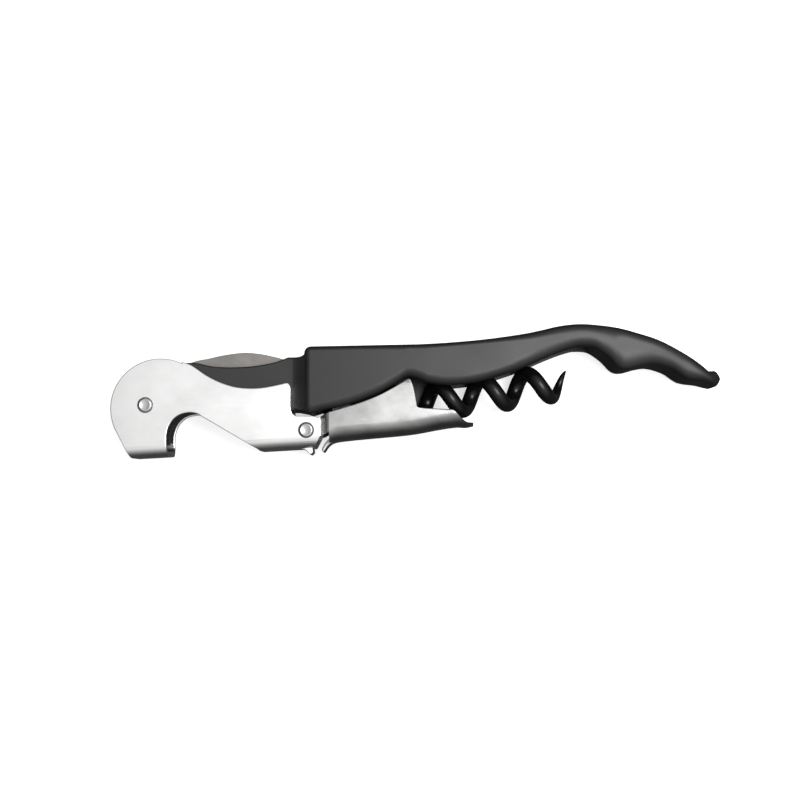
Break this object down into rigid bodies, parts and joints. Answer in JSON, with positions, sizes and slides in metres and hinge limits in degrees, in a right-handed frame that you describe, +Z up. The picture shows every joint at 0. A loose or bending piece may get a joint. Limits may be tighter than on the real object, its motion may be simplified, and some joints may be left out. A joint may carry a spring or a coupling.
{
  "type": "waiters corkscrew",
  "caption": "Folding double-hinged waiter's corkscrew with a curved handle, foil knife, right-handed screw, crown cap notch and two-step steel lever.",
  "frame": {"origin": "under the middle of the folded tool, on the surface that it lies on", "axes": "+X along the tool from the knife end to the tail, +Y towards the back of the handle, +Z up, across the tool's width; every hinge axis is parallel to Z"},
  "size_m": [0.1198, 0.0262, 0.013],
  "materials": {
    "black_coat": "satin near-black powder coat",
    "lever_steel": "satin stainless sheet",
    "blade_steel": "matt ground stainless",
    "worm_coat": "satin black non-stick coat",
    "rivet_steel": "satin steel",
    "washer_plastic": "natural nylon"
  },
  "bodies": {
    "handle": {"handle_body": "black_coat", "head_rivet": "rivet_steel", "worm_pin": "rivet_steel", "lever_washer_bottom": "washer_plastic", "lever_washer_top": "washer_plastic", "worm_spacer_bottom": "washer_plastic", "worm_spacer_top": "washer_plastic", "knife_washer_bottom": "washer_plastic", "knife_washer_top": "washer_plastic"},
    "first_lever": {"first_lever": "lever_steel", "lever_rivet": "rivet_steel", "rivet_spacer": "rivet_steel"},
    "second_lever": {"second_lever": "lever_steel"},
    "knife": {"foil_knife": "blade_steel"},
    "worm": {"worm": "worm_coat"}
  },
  "joints": [
    {"name": "first_lever_hinge", "type": "hinge", "parent": "handle", "child": "first_lever", "pos_m": [-0.05312, -0.0028, 0.0065], "axis": [0, 0, -1], "range_deg": [0, 150]},
    {"name": "second_lever_hinge", "type": "hinge", "parent": "first_lever", "child": "second_lever", "pos_m": [-0.02184, -0.00765, 0.0065], "axis": [0, 0, -1], "range_deg": [0, 13]},
    {"name": "knife_hinge", "type": "hinge", "parent": "handle", "child": "knife", "pos_m": [-0.05312, -0.0028, 0.0065], "axis": [0, 0, 1], "range_deg": [0, 160]},
    {"name": "worm_hinge", "type": "hinge", "parent": "handle", "child": "worm", "pos_m": [-0.01512, -0.004, 0.0065], "axis": [0, 0, -1], "range_deg": [0, 98]}
  ],
  "couplings": [
    {"joint": "worm_hinge", "follows": "first_lever_hinge", "ratio": 0.65}
  ]
}
